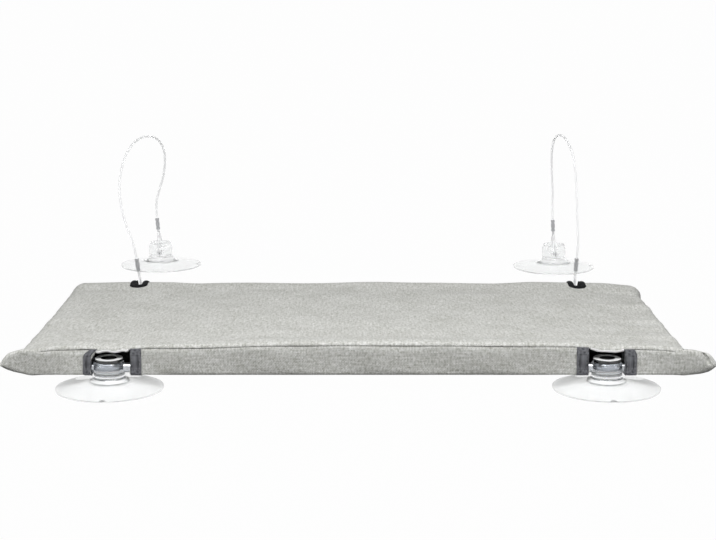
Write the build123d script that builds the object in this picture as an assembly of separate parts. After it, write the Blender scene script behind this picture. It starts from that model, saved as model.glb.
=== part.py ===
from build123d import *
from math import asin, atan2, cos, degrees, hypot, radians, sin, sqrt, tan
import os

# A cat perch for a window. A stuffed fabric deck is stretched over a rectangular frame of steel
# tube. Two suction cups are threaded on the near rail, which goes against the window. Two steel
# cables hang from the far rail and end in suction cups of their own, which go higher up the glass.
# The perch lies on a table here, as it is sold: on its near cups and on its far edge, with the
# cables standing up in an arch and the upper cups flat on the table behind it.
# Millimetres. X runs along the rails, Y from the near rail to the far one, and Z is up.
# The origin is on the table, at the middle of the space that everything but the cables takes up.

# Suction cup, moulded in clear soft plastic
cup_diameter = 85.0
cup_rim_width = 3.0
cup_rim_height = 1.0
cup_hollow_depth = 5.0
cup_shoulder_diameter = 31.0
cup_shoulder_height = 7.0
cup_sag = 0.5
neck_rise = 2.0
knob_base_diameter = 26.0
knob_diameter = 24.4
knob_floor = 3.9
knob_roof = 1.1
knob_recess_diameter = 12.5
knob_recess_depth = 2.8
knob_ring_step = 1.2
knob_ring_depth = 2.6
knob_ring_taper = 1.8
knob_edge_radius = 0.8
nib_width = 5.0
nib_length = 3.4
nib_height = 1.1
nib_round_share = 0.33

# Frame of steel tube with moulded elbows
rail_diameter = 8.0
rail_wall = 0.8
rail_spacing = 284.0
running_clearance = 0.1
elbow_bend_radius = 12.0
spigot_length = 14.0
spigot_clearance = 0.1
spigot_web = 1.7
spigot_chamfer = 0.6

# Stuffed deck: its cover's outside, measured square to the deck
deck_thickness = 24.5
deck_crown = 2.9
near_width = 529.0
far_flare = 3.5
side_slack = 7.3
side_draw = 1.5
far_overhang = 13.5
edge_radius = 9.0
edge_limit_share = 0.45
corner_radius = 20.0
front_edge_radius = 2.5
rail_slack = 1.3
cover_thickness = 1.2
stuffing_gap = 0.3
seam_share = 0.5

# Soft ears at the near corners, which reach past the sides
ear_length = 15.8
ear_neck_share = 0.66
ear_round_share = 0.45
ear_root_depth = 16.0
ear_neck_depth = 8.5
ear_tip_depth = 4.6
ear_neck_height = 14.6
ear_tip_height = 7.6
ear_tip_rise = 5.0
ear_neck_rise = 4.4

# Notches and the tape that binds them, the notches placed from the cover's corners
cup_inset = 68.7
notch_side_gap = 1.3
notch_end_gap = 0.9
notch_corner_radius = 3.0
cable_inset = 62.7
cable_notch_side_gap = 2.7
binding_thickness = 0.8
near_binding_width = 10.0
near_binding_return = 9.0
far_binding_width = 3.6

# Closure on the underside
closure_place = 150.0
flap_inset = 54.5
flap_thickness = 1.2
flap_seam_width = 12.0
flap_step = 4.0
flap_lap = 34.0
tape_thickness = 1.0
tape_inset = 10.0
tape_width = 20.0

# Cables, ferrules and eyes
cable_diameter = 2.0
eye_clearance = 0.3
ferrule_length = 11.5
ferrule_width = 3.8
ferrule_depth = 5.9
crimp_depth = 0.35
crimp_width = 2.0
crimp_share = 0.25
strand_gap = 0.1
cable_swing = 40.0
cable_straight = 15.0
cable_bend_share = 0.45
rail_eye_knee = 2.0
rail_eye_straight = 2.0
ferrule_lift = 3.9
cup_eye_taper = 13.8
cup_eye_side_gap = 1.9
cup_eye_straight = 2.5

# Where the upper cups lie, from the middle of the cable's notch and the far rail, where the eyes
# stand in the notches, and how far the eyes lean in degrees
upper_cup_left = (-4.9, 208.4)
upper_cup_right = (2.1, 196.8)
rail_eye_left_shift = 2.1
rail_eye_right_shift = -1.7
rail_eye_left_lean = -8.0
rail_eye_right_lean = 4.0
cup_eye_left_lean = -5.0
cup_eye_right_lean = -3.0

# One overrun for every cut
overrun = 5.0

# Worked out from the sizes above
rail_radius = rail_diameter / 2
cable_radius = cable_diameter / 2
hole_radius = rail_radius + running_clearance
knob_base_height = cup_shoulder_height + neck_rise
cross_hole_height = knob_base_height + knob_floor + hole_radius
knob_height = cross_hole_height + hole_radius + knob_roof + knob_recess_depth
knob_ring_height = knob_height - knob_ring_depth
knob_flank_height = knob_ring_height - knob_ring_taper
far_width = near_width + 2 * far_flare
side_rail_spacing = near_width - 2 * (rail_radius + cover_thickness + side_slack)
cup_spacing = near_width - 2 * cup_inset
cable_notch_spacing = far_width - 2 * cable_inset
cable_notch_width = ferrule_width + 2 * cable_notch_side_gap
flap_length = near_width - 2 * flap_inset
tape_length = flap_length - 2 * tape_inset
edge_fillet = min(edge_radius, (deck_thickness - deck_crown) * edge_limit_share)
underside_drop = rail_radius + cover_thickness + rail_slack
front_reach = rail_radius + cover_thickness + stuffing_gap
deck_top = deck_thickness - underside_drop
deck_back = rail_spacing + far_overhang
seam_height = -underside_drop + (deck_thickness - deck_crown) * seam_share
crown_radius = ((near_width / 2) ** 2 + deck_crown ** 2) / (2 * deck_crown)
notch_half = knob_diameter / 2 + notch_side_gap
knob_swing = hypot(knob_diameter / 2, cross_hole_height - knob_base_height)
near_notch_end = knob_swing + notch_end_gap
wire_height = cross_hole_height - hole_radius + eye_clearance + cable_radius

# The deck slopes from the near rail, held up by the cups, to its far edge on the table
slope_reach = deck_back - edge_fillet
slope_drop = underside_drop - edge_fillet
slope = asin((cross_hole_height - edge_fillet) / hypot(slope_reach, slope_drop))
slope = degrees(slope - atan2(slope_drop, slope_reach))
rail_reach = rail_spacing * cos(radians(slope))
near_rail_y = -(rail_reach + max(upper_cup_left[1], upper_cup_right[1])) / 2
far_rail_y = near_rail_y + rail_reach
far_rail_z = cross_hole_height - rail_spacing * sin(radians(slope))


def crown_height(x):
    """Height of the deck's top over the rails' axes, at x from the middle."""
    return deck_top - crown_radius + sqrt(crown_radius ** 2 - x ** 2)


# The rail's eye is as tall as its ferrule needs to clear the deck when the cable swings inward
swing = radians(cable_swing)
cable_notch_x = cable_notch_spacing / 2
ferrule_rise = crown_height(cable_notch_x) + binding_thickness + ferrule_lift
rail_eye_height = (ferrule_rise + ferrule_depth / 2 * sin(swing)) / cos(swing)
cable_notch_end = (
    rail_spacing
    - rail_eye_height * sin(swing)
    - ferrule_depth / 2 * cos(swing)
    - notch_end_gap
    - binding_thickness
)
cup_eye_height = knob_height - wire_height + cup_eye_taper


def on_deck(solid):
    """Sets a piece drawn in the deck's own frame, whose origin is on the near rail's axis."""
    return Location((0, near_rail_y, cross_hole_height)) * Rot(-slope, 0, 0) * solid


# Suction cups
def suction_cup():
    """A turned profile with a cross hole along X. The rim's flat ring is on the plane z = 0."""
    rim = cup_diameter / 2
    inner_rim = rim - cup_rim_width
    shoulder = cup_shoulder_diameter / 2
    recess_floor = knob_height - knob_recess_depth
    top_middle = ((rim + shoulder) / 2, (cup_rim_height + cup_shoulder_height) / 2 - cup_sag)
    hollow_radius = (inner_rim ** 2 + cup_hollow_depth ** 2) / (2 * cup_hollow_depth)
    half = inner_rim / 2
    half_rise = cup_hollow_depth - hollow_radius + sqrt(hollow_radius ** 2 - half ** 2)
    neck = (
        (shoulder + knob_base_diameter / 2) / 2 - cup_sag,
        (cup_shoulder_height + knob_base_height) / 2 - cup_sag,
    )
    profile = [
        ThreePointArc((0, cup_hollow_depth), (half, half_rise), (inner_rim, 0)),
        Line((inner_rim, 0), (rim, 0)),
        Line((rim, 0), (rim, cup_rim_height)),
        ThreePointArc((rim, cup_rim_height), top_middle, (shoulder, cup_shoulder_height)),
        ThreePointArc(
            (shoulder, cup_shoulder_height), neck, (knob_base_diameter / 2, knob_base_height)
        ),
        Polyline(
            (knob_base_diameter / 2, knob_base_height),
            (knob_diameter / 2, knob_base_height + (knob_base_diameter - knob_diameter) / 2),
            (knob_diameter / 2, knob_flank_height),
            (knob_diameter / 2 - knob_ring_step, knob_ring_height),
            (knob_diameter / 2 - knob_ring_step, knob_height),
            (knob_recess_diameter / 2, knob_height),
            (knob_recess_diameter / 2, recess_floor),
            (0, recess_floor),
            (0, cup_hollow_depth),
        ),
    ]
    face = make_face([Plane.XZ * edge for edge in profile])
    cup = revolve(face, Axis.Z, 360)
    top_edges = cup.edges().filter_by(GeomType.CIRCLE).group_by(Axis.Z)[-1]
    cup = fillet(top_edges, knob_edge_radius)
    nib = Pos(0, -rim + cup_rim_width / 2 + nib_length / 2, cup_rim_height) * Box(
        nib_width, nib_length, nib_height, align=(Align.CENTER, Align.CENTER, Align.MIN)
    )
    nib = fillet(nib.edges().filter_by(Axis.Z), nib_length * nib_round_share)
    skirt = Pos(0, -rim + cup_rim_width / 2 + nib_length / 2, cup_rim_height / 2) * Box(
        nib_width, nib_length, cup_rim_height, align=(Align.CENTER, Align.CENTER, Align.MIN)
    )
    hole = Pos(0, 0, cross_hole_height) * Rot(0, 90, 0) * Cylinder(hole_radius, cup_diameter)
    return cup + nib + skirt - hole


# Frame
def rail(length):
    """A cut length of steel tube along X, centred."""
    return Rot(0, 90, 0) * (
        Cylinder(rail_radius, length) - Cylinder(rail_radius - rail_wall, length + overrun)
    )


def spigot():
    """A plug with four ribs along X, which starts at the origin and goes into a rail's end."""
    radius = rail_radius - rail_wall - spigot_clearance
    cross = Rectangle(2 * radius, spigot_web) + Rectangle(spigot_web, 2 * radius)
    cross = cross & Circle(radius)
    plug = extrude(Plane.YZ * cross, spigot_length)
    taper = Pos(spigot_length / 2, 0, 0) * Rot(0, 90, 0) * Cylinder(radius, spigot_length)
    tip = taper.edges().filter_by(GeomType.CIRCLE).group_by(Axis.X)[-1]
    return plug & chamfer(tip, spigot_chamfer)


def corner_elbow():
    """The near left corner: a quarter bend from a plug along +X to a plug along +Y."""
    bend = elbow_bend_radius
    path = CenterArc((bend, bend), bend, 270, -90)
    body = sweep(Plane(origin=(bend, 0, 0), z_dir=(-1, 0, 0)) * Circle(rail_radius), path=path)
    along_x = Pos(bend, 0, 0) * spigot()
    along_y = Pos(0, bend, 0) * Rot(0, 0, 90) * spigot()
    return body + along_x + along_y


# Deck
def deck_envelope(inset):
    """The outside of the stuffed cover, drawn in all round by inset."""
    front = -front_reach + inset
    back = deck_back - inset
    near_x = near_width / 2 - inset
    far_x = far_width / 2 - inset
    middle = ((near_x + far_x) / 2 - side_draw, (front + back) / 2)
    outline = [
        Line((-near_x, front), (near_x, front)),
        ThreePointArc((near_x, front), middle, (far_x, back)),
        Line((far_x, back), (-far_x, back)),
        ThreePointArc((-far_x, back), (-middle[0], middle[1]), (-near_x, front)),
    ]
    plan = make_face(outline)
    plan = fillet(plan.vertices().group_by(Axis.Y)[-1], corner_radius - inset)
    block = extrude(Pos(0, 0, -underside_drop + inset) * plan, deck_thickness)

    reach = max(near_width, far_width) / 2 + overrun
    top = deck_top - inset
    shoulder = crown_height(reach) - inset
    low = -underside_drop - overrun
    section = [
        ThreePointArc((-reach, shoulder), (0, top), (reach, shoulder)),
        Polyline((reach, shoulder), (reach, low), (-reach, low), (-reach, shoulder)),
    ]
    crown_face = make_face([Plane.XZ * edge for edge in section])
    crown = extrude(crown_face, rail_spacing + overrun, both=True)
    block = block & (Pos(0, rail_spacing / 2, 0) * crown)

    front_face = block.faces().sort_by(Axis.Y)[0]
    on_front = [edge.center() for edge in front_face.edges()]
    ring = block.edges().filter_by(
        lambda edge: edge.center().Z > deck_top - 2 * deck_crown
        or edge.center().Z < -underside_drop + inset + stuffing_gap
    )
    ring = [e for e in ring if all((e.center() - c).length > stuffing_gap for c in on_front)]
    block = fillet(ring, edge_fillet - inset)
    front_loop = block.faces().sort_by(Axis.Y)[0].edges()
    return fillet(front_loop, front_edge_radius - inset / 2)


def box_between(low, high):
    """A box from one corner to the other."""
    size = [b - a for a, b in zip(low, high)]
    middle = [(a + b) / 2 for a, b in zip(low, high)]
    return Pos(*middle) * Box(*size)


def near_notch(side, spare):
    """The cut that a near cup's knob stands and turns in, wider by spare on each side."""
    half = notch_half + spare
    end = near_notch_end + spare
    depth = end + front_reach + overrun
    plan = Pos(side * cup_spacing / 2, end - depth / 2) * Rectangle(2 * half, depth)
    plan = fillet(plan.vertices().group_by(Axis.Y)[-1], notch_corner_radius)
    return extrude(plan, deck_thickness + overrun, both=True)


def cable_notch(side, spare):
    """The round-ended cut in the far edge that a cable's eye stands in, wider by spare."""
    half = cable_notch_width / 2 + spare
    start = cable_notch_end + cable_notch_width / 2
    depth = deck_back + overrun - start
    x = side * cable_notch_x
    plan = Pos(x, start + depth / 2) * Rectangle(2 * half, depth) + Pos(x, start) * Circle(half)
    return extrude(plan, deck_thickness + overrun, both=True)


def cable_notches(spare):
    """The cuts for both cables' eyes, each wider by spare."""
    return [cable_notch(side, spare) for side in (-1, 1)]


def all_notches(spare):
    """Every notch, each wider by spare."""
    return [near_notch(side, spare) for side in (-1, 1)] + cable_notches(spare)


far_reach = rail_spacing + far_overhang + corner_radius
wide = max(near_width, far_width) / 2 + ear_length + overrun
tall = deck_thickness + overrun
outer = deck_envelope(0)
inner = deck_envelope(cover_thickness)
bound = deck_envelope(-binding_thickness)
band_back = -front_reach + cover_thickness
behind_band = outer & box_between((-wide, band_back, -tall), (wide, far_reach, tall))


def cover_panel(low, high, cuts):
    """The part of the cover's skin between two corners, behind the near band, less some cuts."""
    skin = (outer & box_between(low, high)) - inner
    for cut in cuts:
        skin = skin - cut
    return skin


# The top runs to the front edge over the cups' knobs, which stand under it in their notches
top_panel = cover_panel(
    (-wide, band_back, seam_height), (wide, far_reach, tall), cable_notches(binding_thickness)
)


def ear(side):
    """The soft corner that closes the near band's end. A loft out to a blunt tip."""
    half_height = (crown_height(near_width / 2) + underside_drop) / 2
    root_x = near_width / 2 - edge_fillet
    neck_x = near_width / 2 + ear_length * ear_neck_share
    tip_x = near_width / 2 + ear_length
    rows = [
        (root_x, ear_root_depth, 2 * half_height, half_height - underside_drop),
        (neck_x, ear_neck_depth, ear_neck_height, ear_neck_rise),
        (tip_x, ear_tip_depth, ear_tip_height, ear_tip_rise),
    ]
    sections = []
    for x, depth, height, rise in rows:
        face = RectangleRounded(depth, height, min(depth, height) * ear_round_share)
        middle = (side * x, -front_reach + depth / 2, rise)
        sections.append(Plane(origin=middle, x_dir=(0, 1, 0), z_dir=(1, 0, 0)) * face)
    return loft(sections)


def near_band(x_low, x_high):
    """A length of the near band between two places along X."""
    front = box_between(
        (x_low, -front_reach - overrun, -tall), (x_high, band_back, tall)
    )
    band = outer & front
    for side in (-1, 1):
        band = band - near_notch(side, binding_thickness)
    return band


# Tape round the notches
def rail_tunnel(y):
    """The way that a rail takes through whatever lies across it."""
    return Pos(0, y, 0) * Rot(0, 90, 0) * Cylinder(rail_radius + stuffing_gap, side_rail_spacing)


def near_binding(side, edge):
    """Tape on one side of a near notch: a flange on the band and a return into the notch."""
    inside = side * cup_spacing / 2 + edge * notch_half
    outside = inside + edge * near_binding_width
    wall = inside + edge * binding_thickness
    swollen = bound & box_between(
        (min(inside, outside), -front_reach - overrun, -tall),
        (max(inside, outside), -front_reach + front_edge_radius, tall),
    )
    flange = swollen - outer
    lining = outer & box_between(
        (min(inside, wall), -front_reach, -tall),
        (max(inside, wall), near_binding_return, tall),
    )
    return flange + (lining - top_panel) - rail_tunnel(0)


def cable_binding():
    """Tape round the right cable's notch: a lining, with a flange on the top and far edge."""
    strip = far_binding_width + binding_thickness
    upper = box_between((0, 0, seam_height), (wide, far_reach, tall))
    flange = ((bound & cable_notch(1, strip)) & upper) - outer
    lining = outer & cable_notch(1, binding_thickness)
    return flange + lining - cable_notch(1, 0) - rail_tunnel(rail_spacing)


# Foam
def foam_pad():
    """A pad that lies over the rails and fills the space between them."""
    gap = cover_thickness + stuffing_gap
    stuffing = deck_envelope(gap)
    over_rails = box_between((-wide, -overrun, rail_radius + stuffing_gap), (wide, far_reach, tall))
    inside_x = side_rail_spacing / 2 - rail_radius - 2 * running_clearance - stuffing_gap
    inside_y = rail_radius + 2 * running_clearance + stuffing_gap
    plan = Pos(0, rail_spacing / 2) * RectangleRounded(
        2 * inside_x, rail_spacing - 2 * inside_y, elbow_bend_radius - inside_y
    )
    core = extrude(Pos(0, 0, -underside_drop) * plan, deck_thickness)
    pad = stuffing & (over_rails + core)
    for cut in all_notches(binding_thickness + stuffing_gap):
        pad = pad - cut
    return pad


# Closure
def strip_profile(points, length):
    """A strip along X whose section is given as (y, z) points."""
    face = make_face(Plane.YZ * Polyline(*points, close=True))
    return extrude(face, length / 2, both=True)


def closure_flap():
    """The flap that laps the opening in the underside, stepped down over the tapes."""
    top = -underside_drop
    step = 2 * tape_thickness
    start = closure_place - flap_seam_width - flap_step
    seam_end = start + flap_seam_width
    lap = seam_end + flap_step
    end = lap + flap_lap
    points = [
        (start, top),
        (seam_end, top),
        (lap, top - step),
        (end, top - step),
        (end, top - step - flap_thickness),
        (lap - flap_thickness, top - step - flap_thickness),
        (seam_end - flap_thickness, top - flap_thickness),
        (start, top - flap_thickness),
    ]
    return strip_profile(points, flap_length)


def closure_tape(layer):
    """Hook or loop tape under the far panel, layer 0 against the panel and layer 1 on the flap."""
    high = -underside_drop - layer * tape_thickness
    start = closure_place + (flap_lap - tape_width) / 2
    return box_between(
        (-tape_length / 2, start, high - tape_thickness),
        (tape_length / 2, start + tape_width, high),
    )


# Cables
def ferrule():
    """A crimped oval sleeve along +Z from the origin. It holds two strands side by side in Y."""
    outline = SlotOverall(ferrule_depth, ferrule_width, rotation=90)
    sleeve = extrude(outline, ferrule_length)
    pinched = SlotOverall(
        ferrule_depth - 2 * crimp_depth, ferrule_width - 2 * crimp_depth, rotation=90
    )
    for place in (crimp_share, 1 - crimp_share):
        low = ferrule_length * place - crimp_width / 2
        ring = extrude(Pos(0, 0, low) * (outline - pinched), crimp_width)
        sleeve = sleeve - ring
    return sleeve


def wire_along(path):
    """Cable swept along a path, from a circle at the path's start."""
    start = Plane(origin=path @ 0, z_dir=path % 0)
    return sweep(start * Circle(cable_radius), path=path)


def rail_eye():
    """The eye round the far rail, in the YZ plane, with the rail's axis at the origin."""
    loop = rail_radius + eye_clearance + cable_radius
    strand = cable_radius + strand_gap / 2
    leg = [
        (strand, rail_eye_height),
        (strand, rail_eye_height - rail_eye_straight),
        (loop, rail_eye_knee),
        (loop, -loop),
    ]
    return eye_through(leg, [loop, loop, loop - strand_gap])


def eye_through(leg, radii):
    """A closed eye in the YZ plane, given one leg as (y, z) from the ferrule down."""
    left = [(0, -y, z) for y, z in leg]
    right = [(0, y, z) for y, z in reversed(leg)]
    return wire_along(FilletPolyline(*left, *right, radius=radii + radii[::-1]))


def cup_eye():
    """The eye through a cup's cross hole, in the YZ plane, with its lowest run along the Y axis."""
    strand = cable_radius + strand_gap / 2
    side = knob_diameter / 2 + cup_eye_side_gap + cable_radius
    shoulder = knob_height - wire_height
    corner = cup_eye_side_gap + cable_radius
    leg = [
        (strand, cup_eye_height),
        (strand, cup_eye_height - cup_eye_straight),
        (side, shoulder),
        (side, 0),
    ]
    return eye_through(leg, [corner, 2 * corner, corner])


def upper_end(x, y, lean):
    """The frame of a cup's eye: on the wire's run through the cross hole, leaning about Y."""
    return Location((x, y, wire_height)) * Rot(0, lean, 0)


def rail_end(x, lean):
    """The frame of a rail's eye: on the far rail's axis, leaning about Y."""
    return Location((x, far_rail_y, far_rail_z)) * Rot(0, lean, 0)


def cable(points, label):
    """A standing cable through a hand-chosen route, rounded at each corner."""
    vectors = [Vector(*point) for point in points]
    radii = []
    for before, here, after in zip(vectors, vectors[1:], vectors[2:]):
        turn = (here - before).get_angle(after - here)
        shorter = min((here - before).length, (after - here).length)
        radii.append(cable_bend_share * shorter / tan(radians(turn / 2)))
    runs = [(b - a).length for a, b in zip(vectors, vectors[1:])]
    path = FilletPolyline(*points, radius=radii)
    tube = wire_along(path)
    expected = path.length * Circle(cable_radius).area
    print(label, "runs", [round(run, 1) for run in runs])
    print(label, "radii", [round(radius, 1) for radius in radii])
    print(label, "length", round(path.length, 1), "volume share", round(tube.volume / expected, 4))
    return tube


# Routes of the two cables past the straight ends in their ferrules' mouths: X from the middle of
# the cable's notch, then Y from the far rail, then Z from the table
route_left = [
    (-14.9, 5.8, 81.0),
    (-22.7, 22.7, 111.5),
    (-20.2, 51.0, 138.0),
    (-11.5, 93.0, 151.8),
    (1.9, 135.2, 147.4),
    (6.5, 172.2, 127.2),
    (2.3, 195.4, 100.4),
    (-4.9, 205.6, 80.6),
]
route_right = [
    (1.5, 4.8, 80.4),
    (2.1, 20.8, 111.8),
    (2.3, 47.8, 139.0),
    (-2.1, 87.6, 153.6),
    (-7.3, 127.8, 149.2),
    (-6.7, 162.6, 128.6),
    (-3.1, 184.8, 101.0),
    (-0.7, 194.4, 81.0),
]


def along(frame, height):
    """The point at a height up an eye's own axis."""
    place = frame * Pos(0, 0, height)
    return tuple(place.position)


def route_between(start_frame, start_height, notch_x, points, end_frame, end_height):
    """A cable's whole route, from one ferrule's mouth to the other's."""
    middle = [(notch_x + x, far_rail_y + y, z) for x, y, z in points]
    start = [along(start_frame, start_height + step) for step in (0, cable_straight)]
    end = [along(end_frame, end_height + step) for step in (cable_straight, 0)]
    return start + middle + end


# Put the pieces together
pieces = {}

for side, name in ((-1, "left"), (1, "right")):
    cup = Pos(side * cup_spacing / 2, near_rail_y, 0) * suction_cup()
    pieces["near_cup_" + name] = cup
for side, name, (x, y) in ((-1, "left", upper_cup_left), (1, "right", upper_cup_right)):
    place = Pos(side * cable_notch_x + x, far_rail_y + y, 0)
    pieces["upper_cup_" + name] = place * Rot(0, 0, 90) * suction_cup()

long_rail = side_rail_spacing - 2 * elbow_bend_radius
short_rail = rail_spacing - 2 * elbow_bend_radius
pieces["near_rail"] = on_deck(rail(long_rail))
pieces["far_rail"] = on_deck(Pos(0, rail_spacing, 0) * rail(long_rail))
for side, name in ((-1, "left"), (1, "right")):
    x = side * side_rail_spacing / 2
    pieces["side_rail_" + name] = on_deck(
        Pos(x, rail_spacing / 2, 0) * Rot(0, 0, 90) * rail(short_rail)
    )
corners = {
    "near_left": (-1, 0, 0),
    "near_right": (1, 0, 90),
    "far_right": (1, rail_spacing, 180),
    "far_left": (-1, rail_spacing, 270),
}
for name, (side, y, turn) in corners.items():
    place = Location((side * side_rail_spacing / 2, y, 0)) * Rot(0, 0, turn)
    pieces["elbow_" + name] = on_deck(place * corner_elbow())

pieces["top_panel"] = on_deck(top_panel)
notches = all_notches(binding_thickness)
pieces["bottom_panel_near"] = on_deck(
    cover_panel((-wide, band_back, -tall), (wide, closure_place, seam_height), notches)
)
pieces["bottom_panel_far"] = on_deck(
    cover_panel((-wide, closure_place, -tall), (wide, far_reach, seam_height), notches)
)
pieces["near_band_middle"] = on_deck(near_band(-cup_spacing / 2, cup_spacing / 2))
for side, name in ((-1, "left"), (1, "right")):
    ends = sorted((side * cup_spacing / 2, side * wide))
    band = near_band(*ends) + (ear(side) - behind_band)
    pieces["near_band_" + name] = on_deck(band)
    for edge, place in ((side, "outer"), (-side, "inner")):
        pieces["near_binding_" + name + "_" + place] = on_deck(near_binding(side, edge))
pieces["cable_binding_right"] = on_deck(cable_binding())
pieces["cable_binding_left"] = mirror(pieces["cable_binding_right"], Plane.YZ)
pieces["foam_pad"] = on_deck(foam_pad())
pieces["closure_flap"] = on_deck(closure_flap())
pieces["closure_loop_tape"] = on_deck(closure_tape(0))
pieces["closure_hook_tape"] = on_deck(closure_tape(1))

cables = {
    "left": (
        -cable_notch_x, upper_cup_left, route_left,
        rail_eye_left_shift, rail_eye_left_lean, cup_eye_left_lean,
    ),
    "right": (
        cable_notch_x, upper_cup_right, route_right,
        rail_eye_right_shift, rail_eye_right_lean, cup_eye_right_lean,
    ),
}
for name, (notch_x, (x, y), points, shift, rail_lean, cup_lean) in cables.items():
    low_end = rail_end(notch_x + shift, rail_lean)
    high_end = upper_end(notch_x + x, far_rail_y + y, cup_lean)
    pieces["rail_eye_" + name] = low_end * rail_eye()
    pieces["rail_ferrule_" + name] = low_end * Pos(0, 0, rail_eye_height) * ferrule()
    pieces["cup_eye_" + name] = high_end * cup_eye()
    pieces["cup_ferrule_" + name] = high_end * Pos(0, 0, cup_eye_height) * ferrule()
    route = route_between(
        low_end,
        rail_eye_height + ferrule_length,
        notch_x,
        points,
        high_end,
        cup_eye_height + ferrule_length,
    )
    print(name, "route", [tuple(round(v, 1) for v in point) for point in route])
    pieces["cable_" + name] = cable(route, "cable_" + name)

print("deck slopes", round(slope, 3), "degrees, far rail at", round(far_rail_y, 2), round(far_rail_z, 2))
print("wire height", round(wire_height, 2), "rail eye", round(rail_eye_height, 2))
print("cup eye", round(cup_eye_height, 2), "cable notch ends at", round(cable_notch_end, 2))

os.makedirs("parts", exist_ok=True)
for name, solid in pieces.items():
    export_step(solid, os.path.join("parts", name + ".step"))
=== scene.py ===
from math import atan2, cos, pi, radians, sin

import bmesh
import bpy
import numpy as np
from mathutils import Matrix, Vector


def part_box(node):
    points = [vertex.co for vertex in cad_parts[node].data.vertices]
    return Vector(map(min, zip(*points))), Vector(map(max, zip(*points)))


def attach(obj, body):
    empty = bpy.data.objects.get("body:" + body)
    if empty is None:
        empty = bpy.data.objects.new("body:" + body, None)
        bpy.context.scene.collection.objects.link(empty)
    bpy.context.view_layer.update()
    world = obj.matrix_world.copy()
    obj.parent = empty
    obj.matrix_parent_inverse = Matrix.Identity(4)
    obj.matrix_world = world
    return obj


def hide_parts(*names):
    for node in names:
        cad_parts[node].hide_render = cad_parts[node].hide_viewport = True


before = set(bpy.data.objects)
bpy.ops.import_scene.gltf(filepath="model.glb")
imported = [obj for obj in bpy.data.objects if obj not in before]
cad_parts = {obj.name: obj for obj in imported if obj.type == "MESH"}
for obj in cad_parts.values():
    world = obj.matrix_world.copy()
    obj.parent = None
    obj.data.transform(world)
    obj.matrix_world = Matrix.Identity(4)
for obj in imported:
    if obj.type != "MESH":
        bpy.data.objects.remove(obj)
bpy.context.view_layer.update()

# The camera
# A long lens stands in front of the window rail and looks down on the deck at between eleven and
# twelve degrees, so the far edge is only a little narrower than the near one.
lens = 86.9
camera_place = (0, -1.5629, 0.3648)
look_down = radians(11.574)
camera_data = bpy.data.cameras.new("camera")
camera_data.lens = lens
camera = bpy.data.objects.new("camera", camera_data)
camera.location = camera_place
camera.rotation_euler = (pi / 2 - look_down, 0, 0)
bpy.context.scene.collection.objects.link(camera)
bpy.context.scene.camera = camera

# Cables
# Thin steel rope in a pale plastic coat, crimped at both ends into a grey sleeve that closes an
# eye. The lower eye is threaded on the far rail, the upper one through a cup's cross hole.
# The stiff rope stands up by itself in a tall arch from the one to the other.
cable_width = 0.002
cable_sides = 16
rope_strands = 6
rope_lay = 0.011
route_left = [
    (-0.2090, 0.0377, 0.0476), (-0.2110, 0.0377, 0.0624), (-0.2202, 0.0435, 0.0810),
    (-0.2280, 0.0604, 0.1115), (-0.2255, 0.0887, 0.1380), (-0.2168, 0.1307, 0.1518),
    (-0.2034, 0.1729, 0.1474), (-0.1988, 0.2099, 0.1272), (-0.2030, 0.2331, 0.1004),
    (-0.2102, 0.2433, 0.0806), (-0.2147, 0.2461, 0.0651), (-0.2133, 0.2461, 0.0502),
]
route_right = [
    (0.2065, 0.0377, 0.0479), (0.2075, 0.0377, 0.0629), (0.2068, 0.0425, 0.0804),
    (0.2074, 0.0585, 0.1118), (0.2076, 0.0855, 0.1390), (0.2032, 0.1253, 0.1536),
    (0.1980, 0.1655, 0.1492), (0.1986, 0.2003, 0.1286), (0.2022, 0.2225, 0.1010),
    (0.2046, 0.2321, 0.0810), (0.2047, 0.2345, 0.0652), (0.2055, 0.2345, 0.0503),
]


def linear(colour):
    """An sRGB hex colour as linear red, green, blue and a full alpha."""
    shares = [int(colour[place:place + 2], 16) / 255 for place in (1, 3, 5)]
    return [s / 12.92 if s <= 0.04045 else ((s + 0.055) / 1.055) ** 2.4 for s in shares] + [1]


def add(owner, kind, inputs=None, **settings):
    """Adds a node to a material or a world, sets its settings, then gives each named or numbered
    input a value or a link. A node given as a value is linked by its first output."""
    made = owner.node_tree.nodes.new("ShaderNode" + kind)
    for name, value in settings.items():
        setattr(made, name, value)
    for place, value in (inputs or {}).items():
        if isinstance(value, bpy.types.Node):
            value = value.outputs[0]
        if isinstance(value, bpy.types.NodeSocket):
            owner.node_tree.links.new(value, made.inputs[place])
        else:
            made.inputs[place].default_value = value
    return made


def new_material(name, place="object"):
    """An empty material, and the place that its patterns are read at: on the object or, for
    "cloth", on the flat cloth."""
    material = bpy.data.materials.new(name)
    material.use_nodes = True
    material.node_tree.nodes.clear()
    if place == "cloth":
        return material, add(material, "UVMap", uv_map="cloth")
    return material, add(material, "TexCoord").outputs["Object"]


def finished(material, inputs, colour=None, relief=None):
    """The material, ended in one surface shader with these inputs. colour is a share and the two
    hex colours that it runs between. relief is a height, its strength and its depth in metres."""
    inputs = dict(inputs)
    if colour:
        share, low, high = colour
        mixed = add(material, "Mix", {0: share, 6: linear(low), 7: linear(high)}, data_type="RGBA")
        inputs["Base Color"] = mixed.outputs[2]
    if relief:
        height, strength, depth = relief
        bump = {"Height": height, "Strength": strength, "Distance": depth}
        inputs["Normal"] = add(material, "Bump", bump)
    add(material, "OutputMaterial", {"Surface": add(material, "BsdfPrincipled", inputs)})
    return material


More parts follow.
